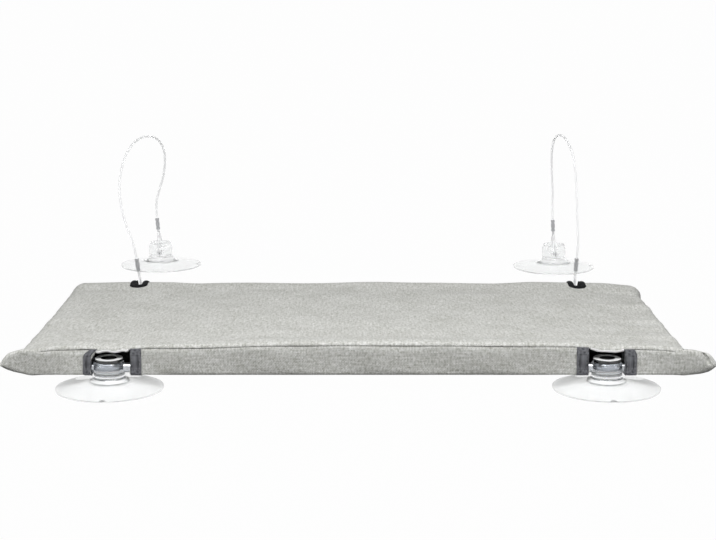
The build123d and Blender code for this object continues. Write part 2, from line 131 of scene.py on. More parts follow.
def coated_rope():
    """Galvanised steel rope in a thick milky PVC coat, which passes most of the light and has a
    soft sheen. The strands are faint slanting lines, whose lay is drawn twice as long as life."""
    material, spot = new_material("coated steel rope", "cloth")
    place = add(material, "SeparateXYZ", {0: spot})
    along, turn = (
        add(material, "Math", {0: place.outputs[axis], 1: 2 * pi * rate}, operation="MULTIPLY")
        for axis, rate in enumerate((1 / rope_lay, rope_strands)))
    wave = add(material, "Math", {0: add(material, "Math", {0: along, 1: turn})}, operation="SINE")
    share = add(material, "MapRange", {0: wave, 1: -1.0, 2: 0.6})
    return finished(material, {"Roughness": 0.5, "IOR": 1.1, "Transmission Weight": 0.8},
                    (share, "#eaebec", "#ffffff"), (share, 0.06, 0.0001))


def crimped_sleeve():
    """Drawn aluminium sleeve gone dull grey, with faint lines along it from the die."""
    material, spot = new_material("crimped aluminium sleeve")
    stretched = add(material, "Mapping", {0: spot, "Scale": (1, 1, 0.1)})
    grain = add(material, "TexNoise", {0: stretched, "Scale": 2200.0, "Detail": 3.0})
    rough = add(material, "MapRange", {0: grain, 3: 0.32, 4: 0.55})
    return finished(material, {"Metallic": 0.9, "Roughness": rough},
                    (grain, "#98999c", "#c9cacc"), (grain, 0.2, 0.00005))


def link(name, mesh):
    """An object for a mesh, at the origin and unturned."""
    piece = bpy.data.objects.new(name, mesh)
    bpy.context.scene.collection.objects.link(piece)
    return piece


def surface(name, points, cloth=None, keep=None, closed=False):
    """A mesh over a grid of points, rows by columns. cloth holds each point's place on the flat
    material, in metres, as the map "cloth". keep marks the cells that stay. A closed form is
    welded where its rows or columns meet, and its faces are turned outwards."""
    rows, columns = points.shape[:2]
    index = np.arange(rows * columns).reshape(rows, columns)
    cells = np.stack([index[:-1, :-1], index[:-1, 1:], index[1:, 1:], index[1:, :-1]], -1)
    cells = cells[keep] if keep is not None else cells.reshape(-1, 4)
    mesh = bpy.data.meshes.new(name)
    mesh.from_pydata(points.reshape(-1, 3).tolist(), [], cells.tolist())
    if cloth is not None:
        spots = np.asarray(cloth, np.float32).reshape(-1, 2)[cells.ravel()]
        mesh.uv_layers.new(name="cloth").data.foreach_set("uv", spots.ravel())
    tidy(mesh, closed)
    return link(name, mesh)


def tidy(mesh, closed):
    """Drops loose points, welds a closed form, turns its faces outwards and shades it smooth."""
    shape = bmesh.new()
    shape.from_mesh(mesh)
    loose = [v for v in shape.verts if not v.link_faces]
    bmesh.ops.delete(shape, geom=loose, context="VERTS")
    if closed:
        bmesh.ops.remove_doubles(shape, verts=shape.verts, dist=1e-7)
        bmesh.ops.dissolve_degenerate(shape, edges=shape.edges, dist=1e-8)
        bmesh.ops.recalc_face_normals(shape, faces=shape.faces)
    shape.to_mesh(mesh)
    shape.free()
    mesh.polygons.foreach_set("use_smooth", [True] * len(mesh.polygons))


def unit(vectors):
    """Each vector over its own length."""
    return vectors / np.maximum(np.linalg.norm(vectors, axis=-1, keepdims=True), 1e-12)


def run_length(path):
    """How far along a path each of its points is."""
    steps = np.linalg.norm(np.diff(path, axis=0), axis=1)
    return np.concatenate([[0], np.cumsum(steps)])


def spread(*parts):
    """Coordinates, each spread over one grid, as the points of that grid."""
    return np.stack(np.broadcast_arrays(*parts), -1)


def round_tube(name, path, radius, sides, side_axis):
    """A tube round a path: at each point a circle square to the path's direction, turned from a
    steady side axis. Its ends close to a point at their middle."""
    ahead = unit(np.gradient(path, axis=0))
    first = unit(np.cross(ahead, side_axis))
    second = np.cross(ahead, first)
    turn = np.linspace(0, 2 * pi, sides + 1)
    ring = np.cos(turn)[:, None] * first[:, None] + np.sin(turn)[:, None] * second[:, None]
    points = path[:, None] + radius * ring
    points = np.concatenate([
        np.repeat(path[:1, None], sides + 1, 1), points, np.repeat(path[-1:, None], sides + 1, 1),
    ])
    along = run_length(path)
    along = np.concatenate([along[:1], along, along[-1:]])
    cloth = spread(along[:, None], turn / (2 * pi))
    return surface(name, points, cloth, closed=True)


def line_through(name, route):
    """The smooth line that a route's points steer, read from a NURBS spline of order 3."""
    curve = bpy.data.curves.new(name, "CURVE")
    curve.dimensions = "3D"
    curve.resolution_u = 16
    spline = curve.splines.new("NURBS")
    spline.points.add(len(route) - 1)
    for point, place in zip(spline.points, route):
        point.co = (*place, 1)
    spline.order_u = 3
    spline.use_endpoint_u = True
    holder = link(name, curve)
    mesh = bpy.data.meshes.new_from_object(holder)
    line = np.zeros(len(mesh.vertices) * 3)
    mesh.vertices.foreach_get("co", line)
    bpy.data.objects.remove(holder)
    bpy.data.meshes.remove(mesh)
    return line.reshape(-1, 3)


def dress(piece, *materials):
    """Gives a piece its materials in place of any others."""
    piece.data.materials.clear()
    for material in materials:
        piece.data.materials.append(material)


def fit(piece, body, slot, node, *materials):
    """Gives a new piece its materials, the body that it rides on and the CAD node that it replaces,
    if any, which it hides. slot is not used."""
    dress(piece, *materials)
    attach(piece, body)
    if node:
        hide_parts(node)


rope = coated_rope()
sleeve = crimped_sleeve()
for side, route in (("left", route_left), ("right", route_right)):
    for end in ("rail", "cup"):
        dress(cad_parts[end + "_ferrule_" + side], sleeve)
        dress(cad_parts[end + "_eye_" + side], rope)
    line = line_through("line", route)
    cable = round_tube("cable_rope_" + side, line, cable_width / 2, cable_sides, (1, 0, 0))
    fit(cable, "cable_" + side, "cable_wire", "cable_" + side, rope)
    ends = [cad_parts[end + "_" + part + "_" + side]
            for end in ("rail", "cup") for part in ("ferrule", "eye")]

# Frame
# Four cut lengths of zinc-plated steel tube, joined at the corners by black nylon elbows whose
# ribbed plugs press into the tubes. All of it hides in the cover, but for the notches.


def zinc_tube():
    """Bright zinc plating on drawn tube: a clean cool metal with fine lines along its length and
    slightly cloudy spots."""
    material, spot = new_material("zinc plated tube")
    drawn = add(material, "Mapping", {0: spot, "Scale": (0.02, 1, 1)})
    lines = add(material, "TexNoise", {0: drawn, "Scale": 5200.0, "Detail": 2.0})
    cloud = add(material, "TexNoise", {0: spot, "Scale": 160.0, "Detail": 4.0})
    rough = add(material, "MapRange", {0: lines, 3: 0.16, 4: 0.34})
    return finished(material, {"Metallic": 1.0, "Roughness": rough},
                    (cloud, "#a2a5aa", "#c9cbce"), (lines, 0.12, 0.00003))


def moulded_nylon():
    """Black glass-filled nylon with a fine spark-eroded skin."""
    material, spot = new_material("moulded nylon")
    skin = add(material, "TexNoise", {0: spot, "Scale": 1800.0, "Detail": 2.0})
    rough = add(material, "MapRange", {0: skin, 3: 0.42, 4: 0.62})
    return finished(material, {"Roughness": rough, "IOR": 1.53},
                    (skin, "#1b1b1c", "#2b2b2d"), (skin, 0.3, 0.00005))


zinc = zinc_tube()
nylon = moulded_nylon()
for node in ("near_rail", "far_rail", "side_rail_left", "side_rail_right"):
    dress(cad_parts[node], zinc)
for node in ("elbow_near_left", "elbow_near_right", "elbow_far_left", "elbow_far_right"):
    dress(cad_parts[node], nylon)

# Suction cups
# Clear soft PVC, injection moulded in one piece: a thin domed disc with a flat sealing ring, a
# stout knob with a recess in its top, and a cross hole that the rail or the cable's eye runs in.
disc_radius = 0.0425
seal_width = 0.003
rim_height = 0.001
hollow_rise = 0.0050
hollow_edge = 0.0170
shoulder_radius = 0.0155
shoulder_height = 0.007
knob_base = (0.013, 0.009)
knob_radius = 0.0122
knob_flank_top = 0.0206
ring_radius = 0.011
ring_foot = 0.0224
knob_top = 0.025
recess_radius = 0.00625
recess_depth = 0.0028
hole_height = 0.017
hole_radius = 0.0041
disc_sag = 0.0005
cup_turns = 160
knob_softness = 0.0007
rim_softness = 0.0002
hollow_softness = 0.006
tab_reach = 0.0035
tab_half_width = 0.0026
tab_rise = 0.0011
tab_squareness = 8
cutter_half = 1.3 * knob_radius
ceiling_top = 0.0055
# Depth under the knob's top that is painted white as a highlight.
painted_highlight_rim = 0.0004
recess_play = 0.0002


def bowed(start, end, rise, steps):
    """Points from start to end on a shallow arc that stands off their straight line by rise."""
    share = np.linspace(0, 1, steps)[:, None]
    start, end = np.array(start), np.array(end)
    across = np.array([-(end - start)[1], (end - start)[0]])
    return start + (end - start) * share + unit(across) * rise * 4 * share * (1 - share)


def softened(points, radius, steps=4):
    """A run of straight lines with each inner corner rounded: a short curve from a point radius
    before the corner to one radius after it."""
    points = np.asarray(points, float)
    before, here, after = points[:-2], points[1:-1], points[2:]
    back, ahead = before - here, after - here
    reach = np.minimum(np.linalg.norm(back, axis=-1), np.linalg.norm(ahead, axis=-1)) * 0.45
    reach = np.minimum(reach, radius)[:, None]
    start, end = here + unit(back) * reach, here + unit(ahead) * reach
    share = np.linspace(0, 1, steps)[:, None, None]
    curve = start * (1 - share) ** 2 + here * 2 * share * (1 - share) + end * share ** 2
    inner = curve.transpose(1, 0, 2).reshape(-1, points.shape[1])
    return np.concatenate([points[:1], inner, points[-1:]])


def cup_profile():
    """Half of the cup's section, from the middle of the recess round to the middle of the hollow:
    radius and height."""
    recess_floor = knob_top - recess_depth
    knob = softened([
        (0, recess_floor), (recess_radius, recess_floor), (recess_radius, knob_top),
        (ring_radius, knob_top), (ring_radius, ring_foot), (knob_radius, knob_flank_top),
        (knob_radius, knob_base[1] + knob_base[0] - knob_radius), knob_base,
    ], knob_softness)
    neck = bowed(knob_base, (shoulder_radius, shoulder_height), -disc_sag, 5)
    disc = bowed((shoulder_radius, shoulder_height), (disc_radius, rim_height), -disc_sag, 26)
    rim = softened([
        (disc_radius, rim_height), (disc_radius, 0), (disc_radius - seal_width, 0),
    ], rim_softness)
    hollow = softened([
        (disc_radius - seal_width, 0), (hollow_edge, hollow_rise), (0, hollow_rise),
    ], hollow_softness, 12)
    return np.concatenate([knob[:-1], neck[:-1], disc[:-1], rim[:-1], hollow])


def apply_changes(piece):
    """Turns a piece's modifiers into its mesh, and shades it smooth."""
    bpy.context.view_layer.update()
    graph = bpy.context.evaluated_depsgraph_get()
    mesh = bpy.data.meshes.new_from_object(piece.evaluated_get(graph))
    piece.modifiers.clear()
    piece.data = mesh
    mesh.polygons.foreach_set("use_smooth", [True] * len(mesh.polygons))


def turned_cup(name, place, quarter):
    """The section turned about the knob's axis, with a pull tab raised on the rim. The turn is
    offset by a quarter for a cup whose cross hole runs along Y."""
    radius, height = (column[:, None] for column in cup_profile().T)
    turn = np.linspace(0, 2 * pi, cup_turns + 1)
    x, y = radius * np.sin(turn), -radius * np.cos(turn)
    past_rim = (radius - disc_radius + tab_reach / 2) / (tab_reach / 2)
    on_tab = np.exp(-(x / tab_half_width) ** tab_squareness - past_rim ** tab_squareness) * (y < 0)
    z = height + tab_rise * on_tab * (height > rim_height / 2)
    hole_path = np.array([[-cutter_half, 0, 0], [cutter_half, 0, 0]])
    if quarter:
        x, y = -y, x
        hole_path = hole_path[:, [1, 0, 2]]
    cup = surface(name, np.stack([x + place[0], y + place[1], z], -1), closed=True)
    hole_path = hole_path + [place[0], place[1], hole_height]
    cutter = round_tube(name + "_hole", hole_path, hole_radius, 64, (0, 0, 1))
    cut = cup.modifiers.new("cross hole", "BOOLEAN")
    cut.object = cutter
    cut.solver = "EXACT"
    apply_changes(cup)
    bpy.data.objects.remove(cutter)
    cup.data.set_sharp_from_angle(angle=radians(38))
    return cup


def moulded_pvc(name, tint, clear, ior):
    """Plasticised PVC, glossy but for the slightest haze from the mould. The near cups' knobs are
    water clear, so that edges and the steel inside show as dark and bright bands. The thin disc is
    a little milky, with a low index that keeps it as pale as such film looks. The knob's flat rim
    and its foot are nearly opaque white as a painted highlight, and the recess in its top is nearly
    black as painted shade."""
    material, spot = new_material(name)
    haze = add(material, "TexNoise", {0: spot, "Scale": 90.0, "Detail": 2.0})
    rough = add(material, "MapRange", {0: haze, 3: 0.02, 4: 0.07})
    return finished(material, {
        "Base Color": linear(tint), "Roughness": rough, "IOR": ior, "Transmission Weight": clear,
    }, relief=(haze, 0.06, 0.0004))


def mark_finishes(cup, place, near):
    """Sorts a cup's faces by their place: knob, disc, the white parts, recess. The knob's flat rim,
    the neck at its foot and the hollow's ceiling under it are nearly opaque white, a painted
    highlight. Only the near cups' recesses are nearly black, a painted shade. The upper cups are
    milky all through."""
    faces = cup.data.polygons
    centres = np.zeros(len(faces) * 3)
    faces.foreach_get("center", centres)
    centres = centres.reshape(-1, 3)
    reach = np.hypot(centres[:, 0] - place[0], centres[:, 1] - place[1])
    height = centres[:, 2]
    kind = np.where(reach > shoulder_radius, 1, 0)
    foot = (reach > knob_base[0]) | (height < ceiling_top)
    # Kind 2 is the painted highlight: nearly opaque white on the rim, the neck and the hollow's
    # ceiling.
    kind = np.where(foot & (reach <= shoulder_radius) | (height > knob_top - painted_highlight_rim), 2, kind)
    in_recess = (reach < recess_radius + recess_play / 2)
    in_recess = in_recess & (height > knob_top - recess_depth - recess_play)
    # Kind 3 paints the near knobs' recesses nearly black: painted shade.
    kind = np.where(in_recess & (kind == 0), 3, kind)
    kind = kind if near else np.ones_like(kind)
    faces.foreach_set("material_index", kind.astype(np.int32))


finishes = [
    moulded_pvc("clear moulded PVC", "#edeff2", 1.0, 1.52),
    moulded_pvc("milky moulded PVC", "#fdfefe", 0.85, 1.14),
    # Painted highlight: the knob's rim, neck and hollow's ceiling are nearly opaque white, so that
    # they show bright.
    moulded_pvc("white rim painted highlight", "#fafbfb", 0.15, 1.52),
    # Painted shade: the near knobs' recesses are nearly black.
    moulded_pvc("recess painted shade", "#17181a", 0.2, 1.52),
]
for node in ("near_cup_left", "near_cup_right", "upper_cup_left", "upper_cup_right"):
    low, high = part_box(node)
    middle = (low + high) / 2
    cup = turned_cup("suction_" + node, middle, node.startswith("upper"))
    fit(cup, node, "clear_pvc", node, *finishes)
    mark_finishes(cup, middle, node.startswith("near"))

# The cover's cloth
# Pale grey melange linen: flat plain weave of uneven, slubby yarn in several greys. The cover is
# cut in panels, drawn tight over the foam and the rails, and its edges roll over the foam.
near_low, near_high = (np.array(corner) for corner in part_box("near_rail"))
far_low, far_high = (np.array(corner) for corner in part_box("far_rail"))
near_axis = (near_low + near_high) / 2
far_axis = (far_low + far_high) / 2
deck_slope = atan2(near_axis[2] - far_axis[2], far_axis[1] - near_axis[1])
rail_spacing = np.linalg.norm(far_axis - near_axis)
near_half = 0.2645
far_half = 0.268
side_draw = 0.0015
front_y = -0.0058
back_y = rail_spacing + 0.0135
under_z = -0.0065
top_z = 0.018
crown = 0.0029
edge_round = 0.009
corner_round = 0.020
seam_z = 0.0043
front_round = 0.0027
front_tuck = radians(98)
cloth_thickness = 0.0012
cup_x = 0.1958
knob_gap = 0.0137
notch_middles = {"left": -0.1927, "right": 0.1950}
near_notch_end = 0.0155
cable_x = 0.2053
cable_gap = 0.0046
cable_notch_end = 0.2609
lining_thickness = 0.0008
thread = 0.0011
warp_slub = 0.012
weft_slub = 0.004
middle_half = (near_half + far_half) / 2
flat_half = middle_half - corner_round
flat_back = back_y - corner_round
roll_start = corner_round - edge_round
skirt = (top_z - crown - edge_round) - seam_z
cloth_reach = roll_start + edge_round * pi / 2 + skirt
front_start = front_y + front_round
front_cut = front_start - front_round * front_tuck


def on_deck(points):
    """Moves points from the deck's own frame, whose origin is on the near rail's axis, by a turn
    about X through the deck's slope."""
    x, y, z = np.moveaxis(points, -1, 0)
    return np.stack([
        x,
        near_axis[1] + y * cos(deck_slope) + z * sin(deck_slope),
        near_axis[2] - y * sin(deck_slope) + z * cos(deck_slope),
    ], -1)


def crown_height(x):
    """Height of the deck's top over the rails, at x: the arc of a very large circle."""
    radius = (near_half ** 2 + crown ** 2) / (2 * crown)
    return top_z - radius + np.sqrt(radius ** 2 - x ** 2)


def smooth_step(value, low, high):
    """0 below low and 1 above high, with an even ease between."""
    share = np.clip((value - low) / (high - low), 0, 1)
    return share * share * (3 - 2 * share)


def half_width(y):
    """Half the cover's width at y: a straight flare to the far end, drawn in halfway along."""
    share = np.clip((y - front_y) / (back_y - front_y), 0, 1)
    return near_half + (far_half - near_half) * share - 4 * side_draw * share * (1 - share)


def bell(value, middle, width):
    """1 at the middle, and falling off on both sides as a bell."""
    return np.exp(-((value - middle) / width) ** 2)


def plateau(value, rise_start, rise_end, fall_start, fall_end):
    """A rise from 0 to 1, a level stretch, and a fall back to 0."""
    return smooth_step(value, rise_start, rise_end) - smooth_step(value, fall_start, fall_end)


# A bell is given as its middle and its width, and a rise or a fall as where it starts and ends.
far_fall = 0.0018
far_fall_power = 1.2
far_fall_stretch = (rail_spacing - 0.004, back_y - 0.002)
crest = 0.0009
crest_bell = (rail_spacing - 0.010, 0.010)
edge_rise = 0.0020
edge_rise_end = (0.238, 0.257)
middle_rise = 0.0013
middle_stretch = (-0.125, -0.055, 0.165, 0.215)
lip_fall = 0.0013
lip_sides = {"left": 0.003, "right": 0.0075}
right_lip_share = 1.2
scallop = 0.0005
scallop_length = 0.0021
scallop_phase = 0.6
lip_margin = 0.0008
front_lift_end = (0.002, 0.034)
lip_fall_end = (-0.004, 0.013)
hollow_depth = 0.0006
hollow_bell = (0.245, 0.016)
far_lift_start = (0.19, 0.265)
# The side, the height, and where the lift rises and falls along X.
far_lifts = [
    (-1, 0.0024, (0.145, 0.185, 0.258, 0.272)), (1, 0.0019, (0.125, 0.170, 0.225, 0.262)),
]
fold_root = 0.26
left_fold_share = 0.4
left_fold_shift = 0.012
# Height, length and direction, then how far, at what length, along which direction and from what
# phase the ripple is bent.
ripples = [
    (0.00028, 0.021, (1, 0), 1.7, 0.043, (0, 1), 0),
    (0.00026, 0.016, (0, 1), 2.1, 0.057, (1, 0), 1),
    (0.00020, 0.017, (1, 1.6), 1.3, 0.040, (1, -1), 0),
]
ripple_start = (-0.006, 0.014)
notch_pucker = 0.0004
notch_pucker_spokes = 11
notch_pucker_root = -0.010
notch_pucker_bell = (0.020, 0.012)
notch_pucker_stretch = 1.3
notch_pucker_turn = 20
slit_dip = 0.0009
slit_dip_width = 0.011
slit_dip_squeeze = 0.8
side_shift = {-1: 0.0028, 1: 0.0040}
side_shift_start = (0.215, 0.245)
corner_swell = 0.0030
corner_swell_start = (0.235, 0.255)
corner_swell_bell = (0.272, 0.010)
roll_pucker = 0.0003
roll_pucker_length = 0.021
seam_lap = 0.0004
under_lift = 0.0020
under_lift_end = (-0.004, 0.020)
slack = 0.0002
slack_lengths = (0.023, 0.031)
# Place along the side, height, width, how far it runs in, and its slant.
side_folds = [
    (0.241, -0.0021, 0.0100, 0.110, 0.10), (0.172, 0.0024, 0.0120, 0.130, 0.06),
    (0.105, 0.0018, 0.0090, 0.100, 0.14), (0.066, -0.0014, 0.0080, 0.080, 0.05),
    (0.037, 0.0016, 0.0070, 0.090, 0.16),
]


def edge_lift(x):
    """How far the stuffed front edge stands over the crown: most in the middle, not at all at the
    corners."""
    ends = 1 - smooth_step(np.abs(x), *edge_rise_end)
    return edge_rise * ends + middle_rise * plateau(x, *middle_stretch)


def lip_drop(x):
    """How far the front edge sags over the knobs in the near notches. The left one is scalloped."""
    over = {}
    for side, ease in lip_sides.items():
        reach = np.abs(x - notch_middles[side])
        over[side] = 1 - smooth_step(reach, knob_gap - ease, knob_gap + lip_margin)
    waves = np.sin((x - notch_middles["left"]) / scallop_length + scallop_phase)
    fall = lip_fall * (over["left"] + right_lip_share * over["right"])
    return fall + scallop * waves * over["left"]


def settle(x, y):
    """How the cloth of the top lies off the plain crown: a rise over each rail, a fall from the
    far rail to the far edge, a shallow hollow before it, a lift beside each far corner, folds that
    run in from both sides, slack ripples, puckers like spokes round each near notch, and a dip at
    each cable notch. A fold's section is a bell. A ripple is a sine along its direction, and
    another sine bends it."""
    fall = far_fall * smooth_step(y, *far_fall_stretch) ** far_fall_power
    rise = crest * bell(y, *crest_bell) - fall + edge_lift(x) * (1 - smooth_step(y, *front_lift_end))
    rise = rise - lip_drop(x) * (1 - smooth_step(y, *lip_fall_end))
    rise = rise - hollow_depth * bell(y, *hollow_bell)
    for sign, height, stretch in far_lifts:
        rise = rise + height * plateau(sign * x, *stretch) * smooth_step(y, *far_lift_start)
    for place, height, width, reach, slant in side_folds:
        for sign, share, shift in ((1, 1, 0), (-1, left_fold_share, left_fold_shift)):
            line = place + shift + sign * slant * (fold_root - sign * x)
            along = smooth_step(sign * x, fold_root - reach, fold_root)
            rise = rise + share * height * bell(y, line, width) * along
    for height, length, (a, b), bend, bend_length, (c, d), phase in ripples:
        swing = bend * np.sin((c * x + d * y) / bend_length + phase)
        ripple = height * np.sin((a * x + b * y) / length + swing)
        rise = rise + ripple * smooth_step(y, *ripple_start)
    for place in notch_middles.values():
        aside = (x - place) / notch_pucker_stretch
        angle = np.arctan2(x - place, y - notch_pucker_root)
        spokes = np.cos(notch_pucker_spokes * angle + place * notch_pucker_turn)
        ring = bell(np.hypot(aside, y - front_y), *notch_pucker_bell)
        rise = rise + notch_pucker * spokes * ring
    for place in (-cable_x, cable_x):
        reach = np.hypot(x - place, slit_dip_squeeze * (y - cable_notch_end))
        rise = rise - slit_dip * bell(reach, 0, slit_dip_width)
    return rise


def cover_points(across, along, top):
    """Where a place on the flat cloth ends up. across and along are measured on the cloth from the
    middle and the near rail. Past the flat part the cloth rolls over the edge in a quarter turn
    and hangs to the seam. At the far corners the square of cloth is eased into a quarter disc,
    whose radius is the larger of the two overhangs. At the front it rolls over more tightly.
    The underside is the same form turned over, without the crown."""
    side = np.maximum(np.abs(across) - flat_half, 0)
    past = np.maximum(along - flat_back, 0)
    reach = np.maximum(side, past)
    angle = pi / 4 * np.minimum(side, past) / np.maximum(reach, 1e-9)
    angle = np.where(past > side, pi / 2 - angle, angle)
    bend = np.clip(reach - roll_start, 0, edge_round * pi / 2) / edge_round
    hang = np.maximum(reach - roll_start - edge_round * pi / 2, 0)
    out = np.minimum(reach, roll_start) + edge_round * np.sin(bend)
    outwards = across * np.sin(angle) + along * np.cos(angle)
    out = out + roll_pucker * np.sin(2 * pi * outwards / roll_pucker_length) * np.sin(bend) ** 2
    down = edge_round * (1 - np.cos(bend)) + hang
    x = np.sign(across) * (np.minimum(np.abs(across), flat_half) + out * np.cos(angle))
    y = np.minimum(along, flat_back) + out * np.sin(angle)
    turn = np.clip((front_start - along) / front_round, 0, front_tuck)
    y = np.where(along < front_start, front_start - front_round * np.sin(turn), y)
    down = down + front_round * (1 - np.cos(turn))
    x = x * half_width(y) / middle_half
    for sign, shift in side_shift.items():
        x = x - shift * smooth_step(sign * x, *side_shift_start)
    x = x + corner_swell * smooth_step(x, *corner_swell_start) * bell(y, *corner_swell_bell)
    if top:
        level = crown_height(np.minimum(np.abs(x), near_half))
        level = level + settle(x, y) * np.cos(bend) ** 2
        return np.stack([x, y, np.maximum(level - down, seam_z - seam_lap)], -1)
    swing = np.sin(y / slack_lengths[1])
    loose = slack * np.sin(x / slack_lengths[0] + swing) * np.cos(bend) ** 2
    loose = loose + under_lift * (1 - smooth_step(y, *under_lift_end))
    level = under_z + seam_lap / 2 + loose + down
    return np.stack([x, y, np.minimum(level, seam_z + seam_lap)], -1)


def stations(stops, steps):
    """Places that meet every stop, evenly spaced between two stops by about their step."""
    runs = []
    for low, high, step in zip(stops, stops[1:], steps):
        count = max(1, round((high - low) / step))
        runs.append(np.linspace(low, high, count + 1)[:-1])
    return np.concatenate(runs + [[stops[-1]]])


def melange_linen():
    """Plain weave. Each yarn keeps its own grey for a slub's length, longer in the warp, and fine
    specks of fibre cross them. Warp and weft take turns on top, and each crossing stands up a
    little. The yarns are drawn twice as coarse as real linen of this weight, so that they show."""
    material, spot = new_material("melange linen", "cloth")
    yarns = add(material, "Mapping", {0: spot, "Scale": (1 / thread, 1 / thread, 1)})
    black, white = (0, 0, 0, 1), (1, 1, 1, 1)
    on_top = add(material, "TexChecker", {0: yarns, 1: white, 2: black, 3: 1.0}).outputs[1]
    fine = 0.75 / thread
    warp_place = add(material, "Mapping", {0: spot, "Scale": (fine, 1 / warp_slub, 1)})
    weft_place = add(material, "Mapping", {
        0: spot, "Location": (7, 3, 5), "Scale": (1 / weft_slub, fine, 1),
    })
    warp = add(material, "TexNoise", {0: warp_place, "Scale": 1.0, "Detail": 3.0})
    weft = add(material, "TexNoise", {0: weft_place, "Scale": 1.0, "Detail": 3.0})
    yarn = add(material, "Mix", {0: on_top, 2: weft, 3: warp})
    speck = add(material, "TexNoise", {0: spot, "Scale": 420.0, "Detail": 2.0})
    patch = add(material, "TexNoise", {0: spot, "Scale": 34.0, "Detail": 3.0})
    tone = yarn
    for pattern, share in ((patch, 0.25), (speck, 0.6)):
        tone = add(material, "Math", {0: pattern, 1: share, 2: tone}, operation="MULTIPLY_ADD")
    share = add(material, "MapRange", {0: tone, 1: 0.58, 2: 1.27})
    place = add(material, "SeparateXYZ", {0: yarns})
    ridges = []
    for axis in (0, 1):
        angle = add(material, "Math", {0: place.outputs[axis], 1: pi}, operation="MULTIPLY")
        wave = add(material, "Math", {0: angle}, operation="SINE")
        ridges.append(add(material, "Math", {0: wave}, operation="ABSOLUTE"))
    ridge = add(material, "Mix", {0: on_top, 2: ridges[1], 3: ridges[0]})
    height = add(material, "Math", {0: yarn, 1: 0.8, 2: ridge}, operation="MULTIPLY_ADD")
    return finished(material, {
        "Roughness": 0.88, "Specular IOR Level": 0.25,
        "Sheen Weight": 0.12, "Sheen Roughness": 0.45,
    }, (share, "#8f9085", "#f5f5f3"), (height, 0.45, 0.0003))


def deck_sheet(name, points, cloth, thickness, slot, node, material, keep=None):
    """A sheet over points in the deck's own frame, which gets its thickness inwards from them and
    rides on the perch."""
    sheet = surface(name, on_deck(points), cloth, keep)
    wall = sheet.modifiers.new("thickness", "SOLIDIFY")
    wall.thickness = thickness
    wall.offset = -1
    fit(sheet, "perch", slot, node, material)
    return sheet


def between(values):
    """The middle of each pair of neighbours."""
    return (values[1:] + values[:-1]) / 2


linen = melange_linen()
front_step = 0.0008
edge_step = 0.0015
panel_step = 0.0028
# Stretches narrower than this are cut in the finer step.
narrow = 0.03
near_stretch = middle_half / half_width(0)
far_stretch = middle_half / half_width(cable_notch_end)
under_notches = {"left": (-cup_x - knob_gap, notch_middles["left"] + knob_gap),
                 "right": (notch_middles["right"] - knob_gap, cup_x + knob_gap)}
slit_half = cable_gap + lining_thickness / 2
slit_start = cable_notch_end + cable_gap
slit_places = (-cable_x * far_stretch, cable_x * far_stretch)
across_stops = [-flat_half - cloth_reach, -flat_half, flat_half, flat_half + cloth_reach]
for low, high in under_notches.values():
    across_stops += [low * near_stretch, high * near_stretch]
for middle in slit_places:
    across_stops += [middle - slit_half, middle + slit_half]
across_stops = sorted(across_stops)
across_steps = [edge_step if high - low < narrow else panel_step
                for low, high in zip(across_stops, across_stops[1:])]
across = stations(across_stops, across_steps)


def notch_cells(columns, rows, top):
    """The cells of a panel that stay: those outside the cable notches and, in the underside, the
    near notches. The top runs on over the near notches."""
    x, y = np.meshgrid(between(columns), between(rows))
    gone = np.zeros(x.shape, bool)
    for low, high in under_notches.values():
        inside = (y < near_notch_end + lining_thickness / 2) & (not top)
        gone |= (x > low * near_stretch) & (x < high * near_stretch) & inside
    for place in slit_places:
        round_end = np.hypot(x - place, y - slit_start) < slit_half
        gone |= (np.abs(x - place) < slit_half) & (y > slit_start) | round_end
    return ~gone


def cover_panel(name, node, rows, top):
    """A panel of the cover between two places along the cloth, less the notches."""
    flat = np.meshgrid(across, rows)
    grids = cover_points(*flat, top), np.stack(flat, -1), notch_cells(across, rows, top)
    points, cloth, keep = grids if top else (grid[::-1] for grid in grids)
    panel = deck_sheet(name, points, cloth, cloth_thickness, "cover_fabric", node, linen, keep)


closure_y = 0.150
far_cut = flat_back + cloth_reach
front_rows = [front_cut, front_start, near_notch_end + lining_thickness / 2]
front_steps = [front_step, edge_step, panel_step]
top_rows = stations(front_rows + [flat_back, far_cut], front_steps + [edge_step])
cover_panel("cover_top", "top_panel", top_rows, True)

# Underside of the cover
# Two panels of the same linen, sewn to the top along the sides and the far edge. They end at the
# opening that the pad and the frame go in by.
near_rows = stations(front_rows + [closure_y], front_steps)
cover_panel("cover_bottom_near", "bottom_panel_near", near_rows, False)
cut_gap = 0.0001
far_rows = stations([closure_y + cut_gap, flat_back, far_cut], [panel_step, edge_step])
cover_panel("cover_bottom_far", "bottom_panel_far", far_rows, False)

# Near band
# A strip of the linen, sewn on edge between the top and the underside along the window rail. The
# two notches cut it in three, and the outer lengths end in soft stuffed ears past the corners.
band_drop = 0.0026
band_rise = 0.0015
band_round = 0.0032
band_depth = band_round + 0.0007
band_wobble = 0.0002
wobble_length = 0.013
band_square = 7.0
ear_square = 2.6
ear_square_shares = (0.1, 0.8)
band_tuck = 0.0003
band_tuck_start = 0.45
ear_start = 0.2555
ear_end = 0.2803
ear_depth = 0.0062
ear_blend = (ear_start - 0.010, ear_start + 0.003)
ear_opening = (ear_start + 0.001, ear_start + 0.009)
ear_places = {
    "left": (0.2555, 0.2620, 0.2700, 0.2750, 0.2785, 0.2803),
    "right": (0.2555, 0.2620, 0.2700, 0.2750, 0.2780, 0.2803),
}
ear_tops = {
    "left": (0.0154, 0.0146, 0.0128, 0.0112, 0.0073, 0.0040),
    "right": (0.0153, 0.0146, 0.0132, 0.0120, 0.0092, 0.0056),
}
